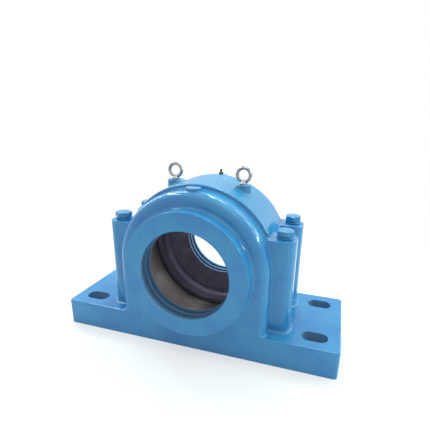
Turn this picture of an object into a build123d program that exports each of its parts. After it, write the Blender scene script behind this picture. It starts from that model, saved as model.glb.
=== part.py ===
from build123d import *
import math
import os

os.makedirs("parts", exist_ok=True)

# Split plummer block, empty, with labyrinth-seal ends: a base and a cap casting that meet on
# the shaft's axis, four cap bolts, two lifting eye bolts and a grease nipple.
# X runs along the foot, Y along the shaft, Z up; the origin is the middle of the foot's underside.
# All sizes are in millimetres.

# ---- Foot ----
foot_length = 885
foot_width = 320
foot_thickness = 85
foot_corner_radius = 12  # upright corners
foot_edge_radius = 5  # top edges
slot_bias = 4.25  # towards the columns, from the middle of the foot's free length
slot_spacing_y = 200
slot_length = 76
slot_width = 46
slot_edge_radius = 2

# ---- Bearing chamber, turned about the shaft's axis ----
centre_height = 260
seat_radius = 220
seat_width = 130
seat_lip = 14  # step in from the seat to the grease chamber beside it
chamber_corner_radius = 10
seat_wall = 24
chamber_wall = 26
band_overhang = 33  # the thick band over the seat reaches this far past each end of it
shoulder_round_share = 0.4  # of the shoulder's length, past the band
band_outer_round = 5
band_inner_round = 4

# ---- Seal ends ----
seal_bore_radius = 133
seal_bore_length = 55
groove_width = 15
groove_depth = 10
groove_land = 8
inner_land = 6
bore_chamfer = 1.5
boss_step = 45  # in from the shoulder's outer radius
boss_projection = 40
boss_root_radius = 10
boss_edge_radius = 2

# ---- Bolt columns ----
column_depth = 76
column_corner_radius = 30
column_end = 35  # from a bolt's axis to the end of its column
cap_flange_height = 109
bolt_to_seat_wall = 21.5
column_root_radius = 8  # where the columns meet the body
column_edge_radius = 5
foot_root_radius = 9  # where the body and the columns meet the foot

# ---- Cap bolts and spring washers, M30 ----
bolt_diameter = 30
bolt_length = 160
bolt_across_flats = 46
bolt_head_height = 18.7
bolt_hole_clearance = 1.5
thread_clearance = 0.05
bolt_point_chamfer = 2.5
tapping_runout = 10
washer_section_width = 8.5
washer_thickness = 6
washer_clearance = 0.25
washer_gap = 3  # of the slanted cut through the ring
washer_gap_slant = 25
head_turns = {"front_left": 28, "front_right": 48, "rear_left": 40, "rear_right": 38}  # degrees
washer_turns = {"front_left": 250, "front_right": 195, "rear_left": 100, "rear_right": 215}

# ---- Lifting eye bolts, M12 ----
eye_spacing = 222
eye_pad_radius = 25
eye_pad_drop = 10  # the pads' tops lie this far below the band's crown
eye_ring_outer_radius = 25
eye_ring_section = 10
eye_height = 55
eye_collar_radius = 12.5
eye_collar_thickness = 5
eye_shank_diameter = 12
eye_shank_length = 22
eye_point_chamfer = 1.2
eye_tapping_runout = 5
eye_pad_depth = 40  # the pads' cylinders are sunk into the cap's wall
pad_root_radius = 9

# ---- Lubrication pads and nipple ----
lube_pad_radius = 21.5
lube_pad_rise = 7  # above the shoulder's crown
lube_pad_offset = 22  # from the band's end face to the pad's centre
nipple_across_flats = 14
nipple_hex_height = 7
nipple_height = 19
nipple_neck_radius = 3.2
nipple_head_radius = 4.2
pipe_thread_radius = 6.5
pipe_thread_length = 12
pipe_tapping_runout = 3
lube_pad_depth = 40
grease_way_radius = 3

# ---- Dowels between the cap and the base ----
dowel_radius = 7
dowel_length = 36
dowel_clearance = 0.1
dowel_end_gap = 2
dowel_chamfer = 1

# ---- Worked out from the above ----
body_half_depth = foot_width / 2
chamber_radius = seat_radius - seat_lip
shoulder_radius = chamber_radius + chamber_wall
boss_radius = shoulder_radius - boss_step
band_radius = seat_radius + seat_wall
band_half_width = seat_width / 2 + band_overhang
boss_face = body_half_depth + boss_projection
chamber_half_length = boss_face - seal_bore_length
bolt_hole_radius = bolt_diameter / 2 + bolt_hole_clearance
bolt_x = seat_radius + bolt_to_seat_wall + bolt_hole_radius
shoulder_round = shoulder_round_share * (body_half_depth - band_half_width)
column_face = (band_half_width + body_half_depth - shoulder_round) / 2  # midway, past the band
bolt_y = column_face - column_depth / 2
column_row_length = 2 * (bolt_x + column_end)
slot_x = (column_row_length / 2 + foot_root_radius + foot_length / 2) / 2 - slot_bias
column_top = centre_height + cap_flange_height
head_seat = column_top + washer_thickness
bolt_tip = head_seat - bolt_length
eye_pad_top = centre_height + band_radius - eye_pad_drop
lube_pad_y = band_half_width + lube_pad_offset
lube_pad_top = centre_height + shoulder_radius + lube_pad_rise
dowel_x = (seal_bore_radius + groove_depth + boss_radius) / 2
dowel_y = (chamber_half_length + boss_face) / 2
dowel_foot = centre_height - dowel_length / 2

near = 0.01  # how closely the edges and corners picked below match their place
shaft_axis = Axis((0, 0, centre_height), (0, -1, 0))  # a half turn from +X about it sweeps over the top
split_plane = Plane.XY.offset(centre_height)
bolt_centres = {
    "front_left": (-bolt_x, -bolt_y),
    "front_right": (bolt_x, -bolt_y),
    "rear_left": (-bolt_x, bolt_y),
    "rear_right": (bolt_x, bolt_y),
}
eye_centres = {"left": -eye_spacing / 2, "right": eye_spacing / 2}
dowel_centres = {"front": (-dowel_x, -dowel_y), "rear": (dowel_x, dowel_y)}


def finish(piece, name):
    """Label a finished piece and write it as its own STEP file."""
    piece.label = name
    export_step(piece, f"parts/{name}.step")


def column_plan():
    """Plan of the bolt columns: a front and a rear row, each a bar through the body with rounded ends."""
    with GridLocations(0, 2 * bolt_y, 1, 2):
        RectangleRounded(column_row_length, column_depth, column_corner_radius)


def mirrored(points):
    """A half profile of (radius, y) points from the front, closed by its mirror image behind."""
    return points + [(r, -y) for r, y in reversed(points)]


# ---- Space inside both castings: seat, grease chamber and grooved seal bores, one turned solid ----
groove_starts = [
    chamber_half_length + inner_land,
    chamber_half_length + inner_land + groove_width + groove_land,
]
with BuildPart() as shaft_space:
    with BuildSketch(split_plane) as space_profile:
        with BuildLine():
            Polyline(
                *mirrored([
                    (0, -boss_face),
                    (seal_bore_radius + bore_chamfer, -boss_face),
                    (seal_bore_radius, -boss_face + bore_chamfer),
                    (seal_bore_radius, -chamber_half_length),
                    (chamber_radius, -chamber_half_length),
                    (chamber_radius, -seat_width / 2),
                    (seat_radius, -seat_width / 2),
                ]),
                close=True,
            )
        make_face()
        chamber_corners = [
            v for v in space_profile.vertices()
            if abs(v.X - chamber_radius) < near and abs(v.Y) > chamber_half_length - near
        ]
        fillet(chamber_corners, chamber_corner_radius)
        for start in groove_starts:
            for end in (-1, 1):
                with Locations((seal_bore_radius, end * (start + groove_width / 2))):
                    Rectangle(2 * groove_depth, groove_width)
    revolve(axis=shaft_axis)

# ---- Base casting ----
with BuildPart() as foot_envelope:  # what the base may fill: the foot's rounded block and the body over it
    with BuildSketch():
        RectangleRounded(foot_length, foot_width, foot_corner_radius)
    extrude(amount=foot_thickness)
    fillet(foot_envelope.faces().sort_by(Axis.Z)[-1].edges(), foot_edge_radius)
    with BuildSketch():
        RectangleRounded(2 * shoulder_radius, foot_width, shoulder_round)
        Rectangle(2 * band_radius, 2 * band_half_width)
        column_plan()
        offset(amount=foot_root_radius)
        Rectangle(2 * shoulder_radius, foot_width)
        Rectangle(foot_length, foot_width, mode=Mode.INTERSECT)
    extrude(amount=centre_height)

with BuildPart() as base_casting:
    with BuildSketch():
        RectangleRounded(2 * shoulder_radius, foot_width, shoulder_round)
        Rectangle(2 * band_radius, 2 * band_half_width)
    extrude(amount=centre_height)
    with BuildSketch():
        column_plan()
    extrude(amount=centre_height)
    web_corners = base_casting.edges(Select.NEW).filter_by(Axis.Z)
    fillet(web_corners, column_root_radius)
    with BuildSketch():
        Rectangle(foot_length + 4 * foot_root_radius, foot_width + 4 * foot_root_radius)
    extrude(amount=foot_thickness)
    foot_root = base_casting.edges(Select.NEW).filter_by_position(
        Axis.Z, foot_thickness - near, foot_thickness + near
    )
    fillet(foot_root, foot_root_radius)
    add(foot_envelope.part, mode=Mode.INTERSECT)
    with BuildSketch(split_plane):
        with Locations((boss_radius / 2, 0)):
            Rectangle(boss_radius, 2 * boss_face)
    revolve(axis=shaft_axis, revolution_arc=-180)
    for y, size in ((body_half_depth, boss_root_radius), (boss_face, boss_edge_radius)):
        arcs = [
            e for e in base_casting.edges().filter_by(GeomType.CIRCLE)
            if abs(e.radius - boss_radius) < near and abs(abs(e.center().Y) - y) < near
        ]
        fillet(arcs, size)
    add(shaft_space.part, mode=Mode.SUBTRACT)
    with BuildSketch(Plane.XY.offset(foot_thickness)):
        with GridLocations(2 * slot_x, slot_spacing_y, 2, 2):
            SlotOverall(slot_length, slot_width)
    extrude(amount=-foot_thickness, mode=Mode.SUBTRACT)
    slot_rims = base_casting.edges(Select.LAST).filter_by_position(
        Axis.Z, foot_thickness - near, foot_thickness + near
    )
    fillet(slot_rims, slot_edge_radius)
    with BuildSketch(split_plane):
        with Locations(*bolt_centres.values()):
            Circle(bolt_diameter / 2 + thread_clearance)
    extrude(amount=-(centre_height - bolt_tip + tapping_runout), mode=Mode.SUBTRACT)
    with BuildSketch(split_plane):
        with Locations(*dowel_centres.values()):
            Circle(dowel_radius)
    extrude(amount=dowel_foot - centre_height, mode=Mode.SUBTRACT)
finish(base_casting.part, "base_casting")

# ---- Cap casting ----
with BuildPart() as cap_columns:
    with BuildSketch(split_plane):
        column_plan()
    extrude(amount=cap_flange_height)
    fillet(cap_columns.faces().sort_by(Axis.Z)[-1].edges(), column_edge_radius)

with BuildPart() as cap_casting:
    with BuildSketch(split_plane) as cap_profile:
        with BuildLine():
            Polyline(
                *mirrored([
                    (0, -boss_face),
                    (boss_radius, -boss_face),
                    (boss_radius, -body_half_depth),
                    (shoulder_radius, -body_half_depth),
                    (shoulder_radius, -band_half_width),
                    (band_radius, -band_half_width),
                ]),
                close=True,
            )
        make_face()
        for radius, y, size in (
            (shoulder_radius, body_half_depth, shoulder_round),
            (boss_radius, body_half_depth, boss_root_radius),
            (boss_radius, boss_face, boss_edge_radius),
        ):
            fillet([v for v in cap_profile.vertices()
                    if abs(v.X - radius) < near and abs(abs(v.Y) - y) < near], size)
    revolve(axis=shaft_axis, revolution_arc=180)
    add(cap_columns.part)
    junctions = cap_casting.edges(Select.NEW).filter_by(lambda e: e.center().Z > centre_height + 1)
    fillet(junctions, column_root_radius)
    for radius, size in ((band_radius, band_outer_round), (shoulder_radius, band_inner_round)):
        step = [
            e for e in cap_casting.edges().filter_by(GeomType.CIRCLE)
            if abs(abs(e.center().Y) - band_half_width) < near
            and abs(e.radius - radius) < near and e.length > radius
        ]
        fillet(step, size)
    with BuildSketch(Plane.XY.offset(eye_pad_top + pad_root_radius)):
        with Locations(*[(x, 0) for x in eye_centres.values()]):
            Circle(eye_pad_radius)
    extrude(amount=-(eye_pad_depth + pad_root_radius))
    fillet(cap_casting.edges(Select.NEW), pad_root_radius)
    with BuildSketch(Plane.XY.offset(eye_pad_top)):
        with Locations(*[(x, 0) for x in eye_centres.values()]):
            Circle(eye_pad_radius + pad_root_radius)
    extrude(amount=2 * pad_root_radius, mode=Mode.SUBTRACT)  # the pads' tops are spot-faced
    with BuildSketch(Plane.XY.offset(lube_pad_top)):
        with Locations((0, -lube_pad_y), (0, lube_pad_y)):
            Circle(lube_pad_radius)
    extrude(amount=-lube_pad_depth)
    add(shaft_space.part, mode=Mode.SUBTRACT)
    with BuildSketch(Plane.XY.offset(column_top)):
        with Locations(*bolt_centres.values()):
            Circle(bolt_hole_radius)
    extrude(amount=-cap_flange_height, mode=Mode.SUBTRACT)
    with BuildSketch(Plane.XY.offset(eye_pad_top)):
        with Locations(*[(x, 0) for x in eye_centres.values()]):
            Circle(eye_shank_diameter / 2 + thread_clearance)
    extrude(amount=-(eye_shank_length + eye_tapping_runout), mode=Mode.SUBTRACT)
    with BuildSketch(Plane.XY.offset(lube_pad_top)):  # only the rear pad is drilled
        with Locations((0, lube_pad_y)):
            Circle(pipe_thread_radius + thread_clearance)
    extrude(amount=-(pipe_thread_length + pipe_tapping_runout), mode=Mode.SUBTRACT)
    with BuildSketch(Plane.XY.offset(lube_pad_top)):
        with Locations((0, lube_pad_y)):
            Circle(grease_way_radius)
    extrude(amount=-lube_pad_depth, mode=Mode.SUBTRACT)
    with BuildSketch(split_plane):
        with Locations(*dowel_centres.values()):
            Circle(dowel_radius + dowel_clearance)
    extrude(amount=dowel_length / 2 + dowel_end_gap, mode=Mode.SUBTRACT)
finish(cap_casting.part, "cap_casting")


# ---- Cap bolts: hexagon head with its corners turned off, plain shank with a pointed end ----
def cap_bolt(x, y, turn):
    """One bolt, its head on the washer and its end in the base's tapped hole."""
    corner_radius = bolt_across_flats / math.sqrt(3)
    head_top = head_seat + bolt_head_height
    corner_drop = (corner_radius - bolt_across_flats / 2) * math.tan(math.radians(30))
    with BuildPart() as bolt:
        with BuildSketch(Plane.XY.offset(head_seat)):
            RegularPolygon(bolt_across_flats / 2, 6, major_radius=False, rotation=turn)
        extrude(amount=bolt_head_height)
        with BuildSketch(Plane.XZ):
            with BuildLine():
                Polyline(
                    (0, head_seat),
                    (corner_radius, head_seat),
                    (corner_radius, head_top - corner_drop),
                    (bolt_across_flats / 2, head_top),
                    (0, head_top),
                    close=True,
                )
            make_face()
        revolve(axis=Axis.Z, mode=Mode.INTERSECT)
        with BuildSketch(Plane.XY.offset(bolt_tip)):
            Circle(bolt_diameter / 2)
        extrude(amount=bolt_length)
        chamfer(bolt.edges().sort_by(Axis.Z)[0], bolt_point_chamfer)
    return bolt.part.moved(Location((x, y, 0)))


def spring_washer(x, y, turn):
    """One spring washer, pressed flat under a bolt head: a ring with a slanted cut."""
    inner_radius = bolt_diameter / 2 + washer_clearance
    outer_radius = inner_radius + washer_section_width
    mean_radius = (inner_radius + outer_radius) / 2
    cut_plane = Plane.XY.offset(column_top + washer_thickness / 2)
    with BuildPart() as ring:
        with BuildSketch(Plane.XY.offset(column_top)):
            Circle(outer_radius)
            Circle(inner_radius, mode=Mode.SUBTRACT)
        extrude(amount=washer_thickness)
        with Locations(cut_plane * Location((mean_radius, 0, 0), (washer_gap_slant, 0, 0))):
            Box(2 * washer_section_width, washer_gap, 3 * washer_thickness, mode=Mode.SUBTRACT)
    return ring.part.moved(Location((x, y, 0), (0, 0, turn)))


for corner, (x, y) in bolt_centres.items():
    finish(cap_bolt(x, y, head_turns[corner]), f"cap_bolt_{corner}")
    finish(spring_washer(x, y, washer_turns[corner]), f"spring_washer_{corner}")


# ---- Lifting eye bolts: forged ring on a round collar, shank below ----
def eye_bolt(x):
    """One eye bolt, its ring's plane along the foot."""
    tube_radius = eye_ring_section / 2
    ring_radius = eye_ring_outer_radius - tube_radius
    ring_centre = eye_pad_top + eye_height - eye_ring_outer_radius
    neck_top = ring_centre - ring_radius + tube_radius
    with BuildPart() as eye:
        with BuildSketch(Plane.XY.offset(ring_centre)):
            with Locations((ring_radius, 0)):
                Circle(tube_radius)
        revolve(axis=Axis((0, 0, ring_centre), (0, 1, 0)))
        with BuildSketch(Plane.XZ):
            with BuildLine():
                Polyline(
                    (0, eye_pad_top),
                    (eye_collar_radius, eye_pad_top),
                    (eye_collar_radius, eye_pad_top + eye_collar_thickness),
                    (tube_radius, neck_top),
                    (0, neck_top),
                    close=True,
                )
            make_face()
        revolve(axis=Axis.Z)
        with BuildSketch(Plane.XY.offset(eye_pad_top)):
            Circle(eye_ring_outer_radius + eye_ring_section)
        extrude(amount=eye_height, mode=Mode.INTERSECT)  # the ring is flush with the collar's face
        with BuildSketch(Plane.XY.offset(eye_pad_top)):
            Circle(eye_shank_diameter / 2)
        extrude(amount=-eye_shank_length)
        chamfer(eye.edges().sort_by(Axis.Z)[0], eye_point_chamfer)
    return eye.part.moved(Location((x, 0, 0)))


for side, x in eye_centres.items():
    finish(eye_bolt(x), f"eye_bolt_{side}")

# ---- Grease nipple in the rear pad: hexagon, neck and ball head, threaded stem below ----
with BuildPart() as grease_nipple:
    with BuildSketch(Plane.XY.offset(lube_pad_top)):
        RegularPolygon(nipple_across_flats / 2, 6, major_radius=False)
    extrude(amount=nipple_hex_height)
    with BuildSketch(Plane.XZ):
        with BuildLine():
            Polyline(
                (0, lube_pad_top - pipe_thread_length),
                (pipe_thread_radius, lube_pad_top - pipe_thread_length),
                (pipe_thread_radius, lube_pad_top + nipple_hex_height),
                (nipple_neck_radius + 2, lube_pad_top + nipple_hex_height + 2),
                (nipple_neck_radius, lube_pad_top + nipple_hex_height + 3),
                (nipple_neck_radius, lube_pad_top + nipple_height - 2 * nipple_head_radius + 1),
                (nipple_head_radius, lube_pad_top + nipple_height - nipple_head_radius - 0.5),
                (nipple_head_radius, lube_pad_top + nipple_height - nipple_head_radius + 1.5),
                (nipple_head_radius / 2, lube_pad_top + nipple_height),
                (0, lube_pad_top + nipple_height),
                close=True,
            )
        make_face()
    revolve(axis=Axis.Z)
finish(grease_nipple.part.moved(Location((0, lube_pad_y, 0))), "grease_nipple")

# ---- Dowels: half in the base, half in the cap, at two opposite corners of the joint ----
for end, (x, y) in dowel_centres.items():
    with BuildPart() as dowel:
        with BuildSketch(Plane.XY.offset(dowel_foot)):
            Circle(dowel_radius)
        extrude(amount=dowel_length)
        chamfer(dowel.edges().group_by(Axis.Z)[-1], dowel_chamfer)
    finish(dowel.part.moved(Location((x, y, 0))), f"dowel_{end}")
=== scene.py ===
import math
import bpy
import numpy as np
from mathutils import Matrix, Vector


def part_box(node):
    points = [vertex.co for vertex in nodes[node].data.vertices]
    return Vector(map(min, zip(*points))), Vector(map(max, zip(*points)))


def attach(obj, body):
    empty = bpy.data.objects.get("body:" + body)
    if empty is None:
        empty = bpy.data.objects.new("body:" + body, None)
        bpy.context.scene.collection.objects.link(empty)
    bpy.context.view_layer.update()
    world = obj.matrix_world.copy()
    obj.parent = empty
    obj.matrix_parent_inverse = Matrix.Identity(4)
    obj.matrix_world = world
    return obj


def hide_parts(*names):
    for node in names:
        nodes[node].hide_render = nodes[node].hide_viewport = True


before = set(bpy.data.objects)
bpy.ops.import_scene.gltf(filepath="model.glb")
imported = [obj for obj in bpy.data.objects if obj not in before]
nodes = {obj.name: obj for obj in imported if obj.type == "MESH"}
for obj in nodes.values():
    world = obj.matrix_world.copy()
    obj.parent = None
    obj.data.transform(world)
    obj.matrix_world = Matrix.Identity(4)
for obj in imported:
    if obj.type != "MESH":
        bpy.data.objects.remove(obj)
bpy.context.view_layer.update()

middle = Vector((0, 0, 0.25))  # the point that the camera and the lamps are set about
noiseSpan = {"From Min": 0.35, "From Max": 0.65}  # where most of a noise lies, spread out to 0 to 1
bpy.context.scene.view_settings.view_transform = "Standard"
print("frame:", len(nodes), "nodes")


def linear(hexColour):
    # sRGB hex to linear colour: below 0.04045 a straight line, above it a power of 2.4
    parts = [int(hexColour[i:i + 2], 16) / 255 for i in (1, 3, 5)]
    return tuple(c / 12.92 if c <= 0.04045 else ((c + 0.055) / 1.055) ** 2.4 for c in parts) + (1.0,)


def perMm(size):
    # texture scale that makes one cell of a pattern this many millimetres wide
    return 1000 / size


def addNode(tree, kind, links=None, **settings):
    # adds one node, with its settings, and its inputs set to a value or linked to a socket.
    # A mix has its share on input 0, two numbers on 2 and 3, and two colours on 6 and 7
    node = tree.nodes.new(kind)
    for name, value in settings.items():
        setattr(node, name, value)
    for key, value in (links or {}).items():
        if isinstance(value, bpy.types.Node):
            # a colour mix keeps its colour on the third output, every other node here on the first
            value = value.outputs[2 if getattr(value, "data_type", "") == "RGBA" else 0]
        if isinstance(value, bpy.types.NodeSocket):
            tree.links.new(value, node.inputs[key])
        else:
            node.inputs[key].default_value = value
    return node


def newMaterial(name, **sockets):
    # a Principled material with the shader's own sockets set, such as Coat_Weight=0.5
    material = bpy.data.materials.new(name)
    material.use_nodes = True
    shader = material.node_tree.nodes["Principled BSDF"]
    for key, value in sockets.items():
        shader.inputs[key.replace("_", " ")].default_value = value
    return material, material.node_tree, shader


def dress(names, material):
    # gives CAD nodes their finish
    for name in names:
        mesh = nodes[name].data
        mesh.materials.clear()
        mesh.materials.append(material)


# Camera: a little over a metre off, a little to the right of the front, looking down
camera = {
    "azimuth": 16.835, "elevation": 18.725, "roll": 1.456,  # degrees
    "across": 0.0658572, "above": 0.0741919, "distance": 1.162742,  # metres from the middle
    "sensor": 36, "focal": 29.42204651,  # millimetres
    "shiftX": -0.0321395349, "shiftY": 0.0423953488,  # shares of the view's width
}


def placeCamera(c):
    turn, tilt = math.radians(c["azimuth"]), math.radians(c["elevation"])
    back = Vector((math.sin(turn) * math.cos(tilt), -math.cos(turn) * math.cos(tilt), math.sin(tilt)))
    right = Vector((math.cos(turn), math.sin(turn), 0))
    up = back.cross(right)
    place = middle + right * c["across"] + up * c["above"] + back * c["distance"]
    facing = Matrix((right, up, back)).transposed() @ Matrix.Rotation(math.radians(c["roll"]), 3, "Z")
    data = bpy.data.cameras.new("camera")
    data.sensor_width = c["sensor"]
    data.lens = c["focal"]
    data.shift_x, data.shift_y = c["shiftX"], c["shiftY"]
    holder = bpy.data.objects.new("camera", data)
    holder.matrix_world = Matrix.Translation(place) @ facing.to_4x4()
    bpy.context.scene.collection.objects.link(holder)
    bpy.context.scene.camera = holder


placeCamera(camera)
print("camera placed")

# Floor, world and lamps: a white sheet under soft walls of light, with narrow panels for the highlights
studio = {
    "floorSize": 60.0, "floorDrop": 0.0004,  # metres across, and below the foot
    "floorColour": "#F6F7F8", "floorRoughness": 0.8, "floorSpecular": 0.2,
    "shadowReach": (0.75, 1.7),  # metres from the middle over which the lit floor gives way to plain white
    "nearGlow": 0.55,  # share of plain white beside the object, where the floor keeps its shadow
    "fillColour": "#F6F8FC", "fillStrength": 0.55,
    # soft walls of light: turn from the front and height in degrees, distance, width and depth in metres,
    # power in watts, colour
    "walls": {
        "overhead": (12, 72, 2.5, 3.0, 2.4, 15, "#F0FFF6"),
        "behind": (180, 60, 2.5, 3.0, 1.6, 2, "#F0FFF2"),
        "leftWall": (-95, 36, 2.4, 2.6, 2.2, 4, "#FBF7FF"),
        "rightWall": (78, 58, 2.4, 2.6, 1.6, 6, "#F0FFFF"),
    },
    # narrow panels that draw the long highlights on the rounds: start, end and width in metres, watts
    "tubes": {
        "topLeft": ((-1.9, 1.2, 2.2), (-0.8, 0.9, 2.3), 0.12, 15),
        "topRight": ((-0.2, 1.4, 2.2), (0.65, 0.8, 2.3), 0.12, 12),
        "topAlong": ((-0.30, 1.9, 2.26), (0.15, 0.55, 2.26), 0.20, 12),
        "leftHigh": ((-2.3, 0.9, 1.0), (-1.2, 0.3, 2.1), 0.12, 12),
        "leftLong": ((-2.0, 1.15, 2.26), (-1.20, -0.70, 2.26), 0.12, 16),
        "rightHigh": ((2.3, -0.1, 1.0), (1.1, 1.5, 2.2), 0.12, 16),
        "rightLong": ((2.35, -0.5, 1.10), (1.75, 2.1, 1.10), 0.11, 20),
    },
    "tubeColour": "#EAFFFF",
}


def seenAsBackground(tree):
    # 1 for the rays that should meet a white backdrop: the camera's, and those mirrored or let through
    path = addNode(tree, "ShaderNodeLightPath")
    seen = addNode(tree, "ShaderNodeMath", {0: path.outputs["Is Camera Ray"],
                                            1: path.outputs["Is Glossy Ray"]}, operation="MAXIMUM")
    return addNode(tree, "ShaderNodeMath", {0: seen, 1: path.outputs["Is Transmission Ray"]},
                   operation="MAXIMUM")


def layFloor(s):
    # a flat sheet in matt paint, which takes soft shadows and mirrors next to nothing.
    # Its share of plain white climbs from nearGlow to 1 with the distance from the middle
    half = s["floorSize"] / 2
    corners = [(-half, -half, 0), (half, -half, 0), (half, half, 0), (-half, half, 0)]
    mesh = bpy.data.meshes.new("floor")
    mesh.from_pydata(corners, [], [(0, 1, 2, 3)])
    floor = bpy.data.objects.new("floor", mesh)
    floor.location.z = -s["floorDrop"]
    bpy.context.scene.collection.objects.link(floor)
    material, tree, shader = newMaterial("paintedStudioFloor", Base_Color=linear(s["floorColour"]),
                                         Roughness=s["floorRoughness"], Specular_IOR_Level=s["floorSpecular"])
    place = addNode(tree, "ShaderNodeTexCoord").outputs["Object"]
    away = addNode(tree, "ShaderNodeVectorMath", {0: place}, operation="LENGTH").outputs["Value"]
    near, far = s["shadowReach"]
    glow = addNode(tree, "ShaderNodeMapRange", {"Value": away, "From Min": near, "From Max": far,
                                               "To Min": s["nearGlow"]}, interpolation_type="SMOOTHSTEP")
    share = addNode(tree, "ShaderNodeMath", {0: seenAsBackground(tree), 1: glow}, operation="MULTIPLY")
    white = addNode(tree, "ShaderNodeEmission", {"Color": (1, 1, 1, 1), "Strength": 1.0})
    mix = addNode(tree, "ShaderNodeMixShader", {0: share, 1: shader, 2: white})
    tree.links.new(mix.outputs[0], tree.nodes["Material Output"].inputs["Surface"])
    mesh.materials.append(material)


def lightWorld(s):
    # a soft fill on every surface, with plain white behind it
    world = bpy.data.worlds.new("studio")
    bpy.context.scene.world = world
    world.use_nodes = True
    tree = world.node_tree
    fill = tree.nodes["Background"]
    fill.inputs["Color"].default_value = linear(s["fillColour"])
    fill.inputs["Strength"].default_value = s["fillStrength"]
    white = addNode(tree, "ShaderNodeBackground", {"Color": (1, 1, 1, 1), "Strength": 1.0})
    mix = addNode(tree, "ShaderNodeMixShader", {0: seenAsBackground(tree), 1: fill, 2: white})
    tree.links.new(mix.outputs[0], tree.nodes["World Output"].inputs["Surface"])


def hangLamp(name, place, along, length, width, power, colour):
    # a rectangle of light at place, its length laid along a direction, facing the middle
    data = bpy.data.lights.new(name, "AREA")
    data.shape = "RECTANGLE"
    data.size, data.size_y = length, width
    data.energy = power
    data.color = linear(colour)[:3]
    away = (place - middle).normalized()
    side = (along - away * away.dot(along)).normalized()
    facing = Matrix((side, away.cross(side), away)).transposed()
    lamp = bpy.data.objects.new(name, data)
    lamp.matrix_world = Matrix.Translation(place) @ facing.to_4x4()
    bpy.context.scene.collection.objects.link(lamp)


def hangWall(name, turn, height, distance, width, depth, power, colour):
    turn, height = math.radians(turn), math.radians(height)
    way = Vector((math.sin(turn) * math.cos(height), -math.cos(turn) * math.cos(height), math.sin(height)))
    level = Vector((math.cos(turn), math.sin(turn), 0))
    hangLamp(name, middle + way * distance, level, width, depth, power, colour)


def hangTube(name, start, end, width, power, colour):
    a, b = Vector(start), Vector(end)
    hangLamp(name, (a + b) / 2, b - a, (b - a).length, width, power, colour)


layFloor(studio)
lightWorld(studio)
for lampName, lampValues in studio["walls"].items():
    hangWall(lampName, *lampValues)
for lampName, lampValues in studio["tubes"].items():
    hangTube(lampName, *lampValues, studio["tubeColour"])
print("floor, world and lamps placed")

# Castings: blue enamel outside, machined and primed iron inside
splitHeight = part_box("cap_casting")[0].z  # the shaft's axis lies in the joint between cap and base
grooveRadius = 0.1445  # metres, to the floors of the seal grooves
chamberRadius = 0.2192  # metres, just inside the bearing seat
chamberEnd = 0.1453  # metres along the shaft, from the middle to an end wall
crisp = 0.0003  # softness of a zone's edge at a machined corner, in metres
casting = {
    "enamel": "#3888B8", "enamelPale": "#4494C2", "enamelDeep": "#327CB4",
    "clouds": 90, "cloudSpan": (0.38, 0.62),  # broad patches of two blues: millimetres across, noise levels
    "flecks": 9, "fleckSpan": (0.50, 0.75), "fleckShare": 0.35,  # small paler flecks over them
    "gloss": (0.08, 0.16), "glossSpan": (0.30, 0.70),  # roughness, which follows the flecks
    # bumps: millimetres across, detail of the noise, depth in metres. Real sand grain is finer than this,
    # and is drawn coarser so that it shows
    "bumps": {"wave": (45, 1.0, 0.0012), "sand": (7, 2.0, 0.00003), "peel": (1.6, 1.0, 0.000012)},
    # the joint shows outside this radius, and less where the flecks say that paint has filled it
    "jointWidth": 0.0005, "jointFrom": 0.193, "jointFade": 0.004,  # metres
    "jointShade": "#1F4560", "paintSpan": (0.35, 0.60), "paintedShare": 0.45,
    # zones with another finish, each over the one before. Limits are on the radius, the distance along the
    # shaft, the distance outward along the foot and the height above the floor: from, to, and softness of the
    # edge, in metres. Mottling is in millimetres
    "zones": {
        # overspray in the seal bores, patchy and half matt
        "sprayedBore": {"limits": {"radius": (None, grooveRadius, crisp),
                                   "along": (chamberEnd, 0.1988, crisp)},
                        "colours": ("#4F8CBA", "#6A7F92"), "mottling": 16, "roughness": 0.4},
        "grooveFloors": {"limits": {"radius": (0.1336, grooveRadius, crisp),
                                    "along": (chamberEnd, 0.1988, crisp)},
                         "colours": ("#4E86B2", "#5C7F9E"), "mottling": 12, "roughness": 0.5},
        # grey-violet primer, matt, in tones that paint in light and shade: pale by the end walls, as painted
        # light
        "primerPaintedLight": {"limits": {"radius": (None, chamberRadius, crisp),
                                     "along": (None, chamberEnd, crisp)},
                          "colours": ("#B8AEC3", "#A59BB3"), "mottling": 40, "roughness": 0.7},
        # dark beside the seat, as painted shade
        "primerPaintedShade": {"limits": {"radius": (None, chamberRadius, crisp), "along": (None, 0.1080, 0.0220)},
                       "colours": ("#524A5F", "#473F55"), "mottling": 40, "roughness": 0.9},
        # pale on the step's face, as painted light over the shade in the corner by the seat
        "stepFacePaintedLight": {"limits": {"radius": (None, chamberRadius, crisp), "along": (None, 0.0660, 0.0006)},
                     "colours": ("#A598B2", "#9488A2"), "mottling": 40, "roughness": 0.6},
        # fine-turned iron under a film of oil, brown-grey with a soft mirror
        "turnedSeat": {"limits": {"radius": (chamberRadius, 0.2230, crisp), "along": (None, 0.0649, crisp)},
                       "colours": ("#6C6462", "#5C5352"), "mottling": 55, "roughness": 0.25,
                       "metallic": 0.6},
        # a darker, slightly teal enamel tone on the band's upper part: painted shade that tones down its lit
        # top. Less glossy than the rest of the coat
        "bandTopPaintedShade": {"limits": {"radius": (0.2385, None, 0.0030), "along": (None, 0.0965, 0.0010),
                                   "above": (0.3950, None, 0.0250)},
                        "colours": ("#2F84B0", "#297BAA"), "mottling": 6, "roughness": 0.32},
        # thin overspray in the foot's slots
        "slotWalls": {"limits": {"outward": (0.328, 0.408, crisp), "along": (0.075, 0.125, crisp),
                                 "above": (None, 0.0828, crisp)},
                      "colours": ("#6393B8", "#6E8CA6"), "mottling": 14, "roughness": 0.5},
    },
}


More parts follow.
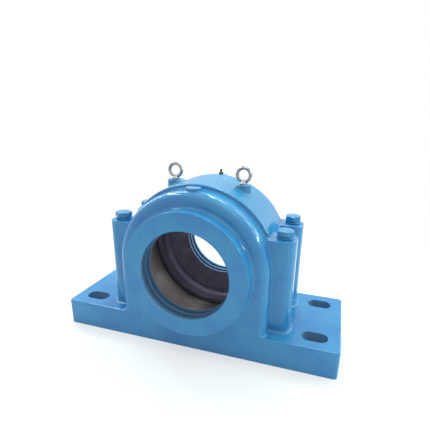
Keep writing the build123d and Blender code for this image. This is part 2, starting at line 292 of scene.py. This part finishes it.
def enamelOnIron(c):
    # alkyd enamel sprayed on sand-cast iron: a glossy film over a slightly wavy, faintly grainy skin
    material, tree, shader = newMaterial("enamelOnCastIron")
    place = addNode(tree, "ShaderNodeTexCoord").outputs["Object"]
    shifted = addNode(tree, "ShaderNodeVectorMath", {0: place, 1: (0, 0, splitHeight)}, operation="SUBTRACT")
    flat = addNode(tree, "ShaderNodeVectorMath", {0: shifted, 1: (1, 0, 1)}, operation="MULTIPLY")
    radius = addNode(tree, "ShaderNodeVectorMath", {0: flat}, operation="LENGTH").outputs["Value"]
    parts = addNode(tree, "ShaderNodeSeparateXYZ", {0: shifted})
    along = addNode(tree, "ShaderNodeMath", {0: parts.outputs["Y"]}, operation="ABSOLUTE")
    outward = addNode(tree, "ShaderNodeMath", {0: parts.outputs["X"]}, operation="ABSOLUTE")
    above = addNode(tree, "ShaderNodeMath", {0: parts.outputs["Z"], 1: splitHeight}, operation="ADD")
    measures = {"radius": radius, "along": along, "outward": outward, "above": above}

    # colour: broad clouds, then finer flecks
    clouds = addNode(tree, "ShaderNodeTexNoise", {"Vector": place, "Scale": perMm(c["clouds"]), "Detail": 2.0})
    low, high = c["cloudSpan"]
    cloudy = addNode(tree, "ShaderNodeMapRange", {"Value": clouds, "From Min": low, "From Max": high})
    colour = addNode(tree, "ShaderNodeMix", {0: cloudy, 6: linear(c["enamelDeep"]), 7: linear(c["enamel"])},
                     data_type="RGBA")
    flecks = addNode(tree, "ShaderNodeTexNoise", {"Vector": place, "Scale": perMm(c["flecks"]), "Detail": 4.0})
    low, high = c["fleckSpan"]
    flecked = addNode(tree, "ShaderNodeMapRange", {"Value": flecks, "From Min": low, "From Max": high,
                                                  "To Max": c["fleckShare"]})
    colour = addNode(tree, "ShaderNodeMix", {0: flecked, 6: colour, 7: linear(c["enamelPale"])},
                     data_type="RGBA")
    low, high = c["glossSpan"]
    smooth, rough = c["gloss"]
    rough = addNode(tree, "ShaderNodeMapRange", {"Value": flecks, "From Min": low, "From Max": high,
                                                "To Min": smooth, "To Max": rough})

    # the joint, half filled with paint
    level = addNode(tree, "ShaderNodeMath", {0: parts.outputs["Z"]}, operation="ABSOLUTE")
    joint = addNode(tree, "ShaderNodeMapRange", {"Value": level, "From Min": c["jointWidth"], "From Max": 0.0})
    outside = addNode(tree, "ShaderNodeMapRange", {"Value": radius, "From Min": c["jointFrom"],
                                                  "From Max": c["jointFrom"] + c["jointFade"]})
    low, high = c["paintSpan"]
    filled = addNode(tree, "ShaderNodeMapRange", {"Value": flecks, "From Min": low, "From Max": high,
                                                 "To Min": 1.0, "To Max": c["paintedShare"]})
    for part in (outside, filled):
        joint = addNode(tree, "ShaderNodeMath", {0: joint, 1: part}, operation="MULTIPLY")
    colour = addNode(tree, "ShaderNodeMix", {0: joint, 6: colour, 7: linear(c["jointShade"])},
                     data_type="RGBA")

    # the zones: a mask is the product of one step for each limit
    for zone in c["zones"].values():
        mask = None
        for key, (low, high, soft) in zone["limits"].items():
            for edge, reach in ((low, soft), (high, -soft)):
                if edge is None:
                    continue
                step = addNode(tree, "ShaderNodeMapRange", {"Value": measures[key], "From Min": edge - reach,
                                                           "From Max": edge + reach})
                mask = step if mask is None else addNode(tree, "ShaderNodeMath", {0: mask, 1: step},
                                                         operation="MULTIPLY")
        first, second = zone["colours"]
        mottle = addNode(tree, "ShaderNodeTexNoise", {"Vector": place, "Scale": perMm(zone["mottling"]),
                                                     "Detail": 3.0})
        spread = addNode(tree, "ShaderNodeMapRange", {"Value": mottle, **noiseSpan})
        finish = addNode(tree, "ShaderNodeMix", {0: spread, 6: linear(first), 7: linear(second)},
                         data_type="RGBA")
        colour = addNode(tree, "ShaderNodeMix", {0: mask, 6: colour, 7: finish}, data_type="RGBA")
        rough = addNode(tree, "ShaderNodeMix", {0: mask, 2: rough, 3: zone["roughness"]}, data_type="FLOAT")
        if "metallic" in zone:  # one zone only, so its mask is all that the socket needs
            metal = addNode(tree, "ShaderNodeMapRange", {"Value": mask, "To Max": zone["metallic"]})
    tree.links.new(colour.outputs[2], shader.inputs["Base Color"])
    tree.links.new(rough.outputs[0], shader.inputs["Roughness"])
    tree.links.new(metal.outputs[0], shader.inputs["Metallic"])

    # surface: long casting waves, sand grain, then orange peel in the film
    surface = {}
    for size, detail, depth in c["bumps"].values():
        height = addNode(tree, "ShaderNodeTexNoise", {"Vector": place, "Scale": perMm(size), "Detail": detail})
        bump = addNode(tree, "ShaderNodeBump", {"Height": height, "Distance": depth, **surface})
        surface = {"Normal": bump}
    tree.links.new(bump.outputs[0], shader.inputs["Normal"])
    return material


dress(["base_casting", "cap_casting"], enamelOnIron(casting))
print("castings dressed")


# Pieces made here, for fasteners whose edges the paint has softened
def addPiece(name, grid, material, node):
    # grid: (rows, columns, 3) points. The columns wrap round, and the first and last row are single points
    rows, columns = grid.shape[:2]
    points = np.concatenate([grid[:1, 0], grid[1:-1].reshape(-1, 3), grid[-1:, 0]])
    index = 1 + np.arange((rows - 2) * columns).reshape(rows - 2, columns)
    ahead = np.roll(index, -1, axis=1)
    quads = np.stack([index[:-1], ahead[:-1], ahead[1:], index[1:]], -1).reshape(-1, 4)
    firstFan = np.stack([np.zeros_like(index[0]), ahead[0], index[0]], -1)
    lastFan = np.stack([np.full_like(index[0], len(points) - 1), index[-1], ahead[-1]], -1)
    mesh = bpy.data.meshes.new(name)
    mesh.from_pydata(points.tolist(), [], quads.tolist() + firstFan.tolist() + lastFan.tolist())
    mesh.polygons.foreach_set("use_smooth", np.ones(len(mesh.polygons), dtype=bool))
    mesh.materials.append(material)
    piece = bpy.data.objects.new(name, mesh)
    bpy.context.scene.collection.objects.link(piece)
    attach(piece, "root")
    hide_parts(node)


def centreOf(node):
    low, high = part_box(node)
    return (low.x + high.x) / 2, (low.y + high.y) / 2


def rounded(corners, steps=5, nearHalf=2.02):
    # profile through (radius, height, rounding) corners, each corner an arc as a quadratic curve:
    # (1 - t)^2 a + 2 t (1 - t) corner + t^2 b, with a and b the rounding away along the two sides.
    # A rounding stops just short of the middle of a side
    c = np.array([corner[:2] for corner in corners], float)
    path = [c[:1]]
    t = np.linspace(0, 1, steps)[:, None]
    for i in range(1, len(c) - 1):
        before, after = c[i - 1] - c[i], c[i + 1] - c[i]
        lengths = np.linalg.norm(before), np.linalg.norm(after)
        reach = min(corners[i][2], lengths[0] / nearHalf, lengths[1] / nearHalf)
        a, b = c[i] + before / lengths[0] * reach, c[i] + after / lengths[1] * reach
        path.append((1 - t) ** 2 * a + 2 * t * (1 - t) * c[i] + t ** 2 * b)
    return np.concatenate(path + [c[-1:]])


# Cap bolts: a hexagon head with a washer face, on a shank as long as the CAD bolt's
capBolts = {
    "across": 0.046, "shank": 0.015, "pointChamfer": 0.0025, "edge": 0.0003,  # metres
    "washerFace": 0.0212, "faceHeight": 0.0020, "faceEdge": 0.0002,
    "slopeHeight": 0.0022, "slopeRound": 0.0018,  # from the washer face out to the hexagon
    "cornerReach": 1.02,  # the profile passes just outside the hexagon's corners
    "chamfer": 30, "chamferDrop": 1.55, "chamferRound": 0.0012,  # degrees, and a factor that deepens it
    "crown": 0.93, "crownRound": 0.0022,  # the flat top as a share of the width across flats
    "columns": 240, "softness": 26,  # points round the head, and the power that rounds its six edges
    "turns": {"front_left": 28, "front_right": 48, "rear_left": 40, "rear_right": 38},  # degrees
    "enamel": "#3289B6", "enamelDeep": "#2777A6", "brush": 6, "brushDepth": 0.00010,  # mm and metres
    "gloss": (0.10, 0.24), "glossSpan": (0.30, 0.70),  # roughness, which follows the brush marks
}


def enamelOnBolts(c):
    # thick enamel brushed over the bolts after assembly: glossy, a little darker, with soft brush marks
    material, tree, shader = newMaterial("enamelOnBolts")
    place = addNode(tree, "ShaderNodeTexCoord").outputs["Object"]
    brush = addNode(tree, "ShaderNodeTexNoise", {"Vector": place, "Scale": perMm(c["brush"]), "Detail": 3.0})
    spread = addNode(tree, "ShaderNodeMapRange", {"Value": brush, **noiseSpan})
    colour = addNode(tree, "ShaderNodeMix", {0: spread, 6: linear(c["enamelDeep"]), 7: linear(c["enamel"])},
                     data_type="RGBA")
    low, high = c["glossSpan"]
    smooth, rough = c["gloss"]
    rough = addNode(tree, "ShaderNodeMapRange", {"Value": brush, "From Min": low, "From Max": high,
                                                "To Min": smooth, "To Max": rough})
    bump = addNode(tree, "ShaderNodeBump", {"Height": brush, "Distance": c["brushDepth"]})
    tree.links.new(colour.outputs[2], shader.inputs["Base Color"])
    tree.links.new(rough.outputs[0], shader.inputs["Roughness"])
    tree.links.new(bump.outputs[0], shader.inputs["Normal"])
    return material


def boltProfile(c, point, seat, top):
    # up the shank from its point, out under the head and over its crown
    half = c["across"] / 2
    wide = c["across"] / math.sqrt(3)
    drop = (wide - half) * math.tan(math.radians(c["chamfer"])) * c["chamferDrop"]
    face = seat + c["faceHeight"]
    rim = wide * c["cornerReach"]
    return rounded([
        (0, point), (c["shank"] - c["pointChamfer"], point, c["edge"]),
        (c["shank"], point + c["pointChamfer"], c["edge"]), (c["shank"], seat, c["edge"]),
        (c["washerFace"], seat, c["faceEdge"]), (c["washerFace"], face, c["edge"]),
        (rim, face + c["slopeHeight"], c["slopeRound"]), (rim, top - drop, c["chamferRound"]),
        (half * c["crown"], top, c["crownRound"]), (0, top)])


def turnedHexagon(c, profile, centre, turn):
    # turned about the upright through the centre. The radius is the softened smaller one of the profile's
    # R(row) and the hexagon's h(angle): (R^-soft + h^-soft)^(-1/soft),
    # where h = across / 2 / (sum over flats of max(cos(angle - flat), 0)^soft)^(1/soft)
    soft = c["softness"]
    onAxis = 1e-9  # keeps the power finite where the profile meets the axis
    angle = np.linspace(0, 2 * np.pi, c["columns"], endpoint=False)
    flats = math.radians(turn + 30) + np.arange(6) * np.pi / 3  # turn is a corner's, and a flat is 30 from it
    lean = np.maximum(np.cos(angle[:, None] - flats), 0)
    hexagon = c["across"] / 2 / (lean ** soft).sum(1) ** (1 / soft)
    radius = np.repeat(profile[:, :1], c["columns"], axis=1)
    radius = (np.maximum(radius, onAxis) ** -soft + hexagon ** -soft) ** (-1 / soft)
    radius[profile[:, 0] <= 0] = 0
    height = np.repeat(profile[:, 1:], c["columns"], axis=1)
    return np.stack([centre[0] + radius * np.cos(angle), centre[1] + radius * np.sin(angle), height], -1)


boltEnamel = enamelOnBolts(capBolts)
for corner, turn in capBolts["turns"].items():
    low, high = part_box("cap_bolt_" + corner)
    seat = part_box("spring_washer_" + corner)[1].z
    profile = boltProfile(capBolts, low.z, seat, high.z)
    grid = turnedHexagon(capBolts, profile, centreOf("cap_bolt_" + corner), turn)
    addPiece("head_" + corner, grid, boltEnamel, "cap_bolt_" + corner)
print("cap bolts made")

# Spring washers: split rings, under the same enamel
springWashers = {
    "inner": 0.01525, "outer": 0.02375, "thickness": 0.006, "corner": 0.0020, "gap": 0.0034,  # metres
    "slant": 25,  # degrees, of the gap
    "columns": 160, "cornerSteps": 6,  # points round the ring, and over each rounded corner
    "turns": {"front_left": 250, "front_right": 195, "rear_left": 100, "rear_right": 215},  # degrees
}


def splitRing(c, centre, foot, turn):
    # section s(u), a box with rounded corners, carried round the angle v from one side of the gap to the
    # other; each point is turned back by height * tan(slant) / mean radius, which slants the gap
    top, waist = foot + c["thickness"], foot + c["thickness"] / 2
    mean = (c["inner"] + c["outer"]) / 2
    slant = math.radians(c["slant"])
    box = [(c["inner"], foot, c["corner"]), (c["outer"], foot, c["corner"]),
           (c["outer"], top, c["corner"]), (c["inner"], top, c["corner"])]
    startAndEnd = [(mean, foot)]  # a point on the lower side, dropped once the corners are rounded
    section = rounded(startAndEnd + box + startAndEnd, steps=c["cornerSteps"])[1:-1]
    section = section[::-1]  # so that the faces point outwards
    gap = c["gap"] / mean / math.cos(slant)
    angle = math.radians(turn) + np.linspace(gap / 2, 2 * np.pi - gap / 2, c["columns"])
    angle = np.concatenate([angle[:1], angle, angle[-1:]])
    radius = np.repeat(section[None, :, 0], len(angle), axis=0)
    height = np.repeat(section[None, :, 1], len(angle), axis=0)
    radius[[0, -1]], height[[0, -1]] = mean, waist  # the end faces close on one point
    lean = (height - waist) * math.tan(slant) / mean
    turned = angle[:, None] - lean
    return np.stack([centre[0] + radius * np.cos(turned), centre[1] + radius * np.sin(turned), height], -1)


for corner, turn in springWashers["turns"].items():
    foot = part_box("spring_washer_" + corner)[0].z
    grid = splitRing(springWashers, centreOf("cap_bolt_" + corner), foot, turn)
    addPiece("washer_" + corner, grid, boltEnamel, "spring_washer_" + corner)
print("spring washers made")

# The rest keep their CAD solids, in bare or plated metal, its grain drawn coarser than the real one, to show
bareMetals = {
    # two colours, metallic, roughness from and to, grain in millimetres, bump depth in metres
    "brightZincPlate": ("#A6A8AC", "#85878C", 1.0, 0.16, 0.34, 3, 0.00004),  # silvery, with broken highlights
    "oiledSteel": ("#6E6860", "#3E3A36", 1.0, 0.30, 0.50, 2, 0.00003),  # brown-grey and dull under grease
    "groundSteel": ("#9C9C9A", "#86868A", 1.0, 0.20, 0.30, 1, 0.00001),  # an even, clean grey
}


def bareMetal(name, pale, dull, metallic, smooth, rough, grain, depth):
    # one noise greys, roughens and dents the metal, so that its highlights break up as on worn parts
    material, tree, shader = newMaterial(name, Metallic=metallic)
    place = addNode(tree, "ShaderNodeTexCoord").outputs["Object"]
    speck = addNode(tree, "ShaderNodeTexNoise", {"Vector": place, "Scale": perMm(grain), "Detail": 4.0})
    worn = addNode(tree, "ShaderNodeMapRange", {"Value": speck, **noiseSpan})
    colour = addNode(tree, "ShaderNodeMix", {0: worn, 6: linear(pale), 7: linear(dull)}, data_type="RGBA")
    matt = addNode(tree, "ShaderNodeMapRange", {"Value": worn, "To Min": smooth, "To Max": rough})
    dents = addNode(tree, "ShaderNodeBump", {"Height": speck, "Distance": depth})
    tree.links.new(colour.outputs[2], shader.inputs["Base Color"])
    tree.links.new(matt.outputs[0], shader.inputs["Roughness"])
    tree.links.new(dents.outputs[0], shader.inputs["Normal"])
    return material


metals = {name: bareMetal(name, *values) for name, values in bareMetals.items()}
metalOf = {"eye_bolt": "brightZincPlate", "grease_nipple": "oiledSteel", "dowel": "groundSteel"}
for start, metalName in metalOf.items():
    dress([name for name in nodes if name.startswith(start)], metals[metalName])
print("fasteners dressed")
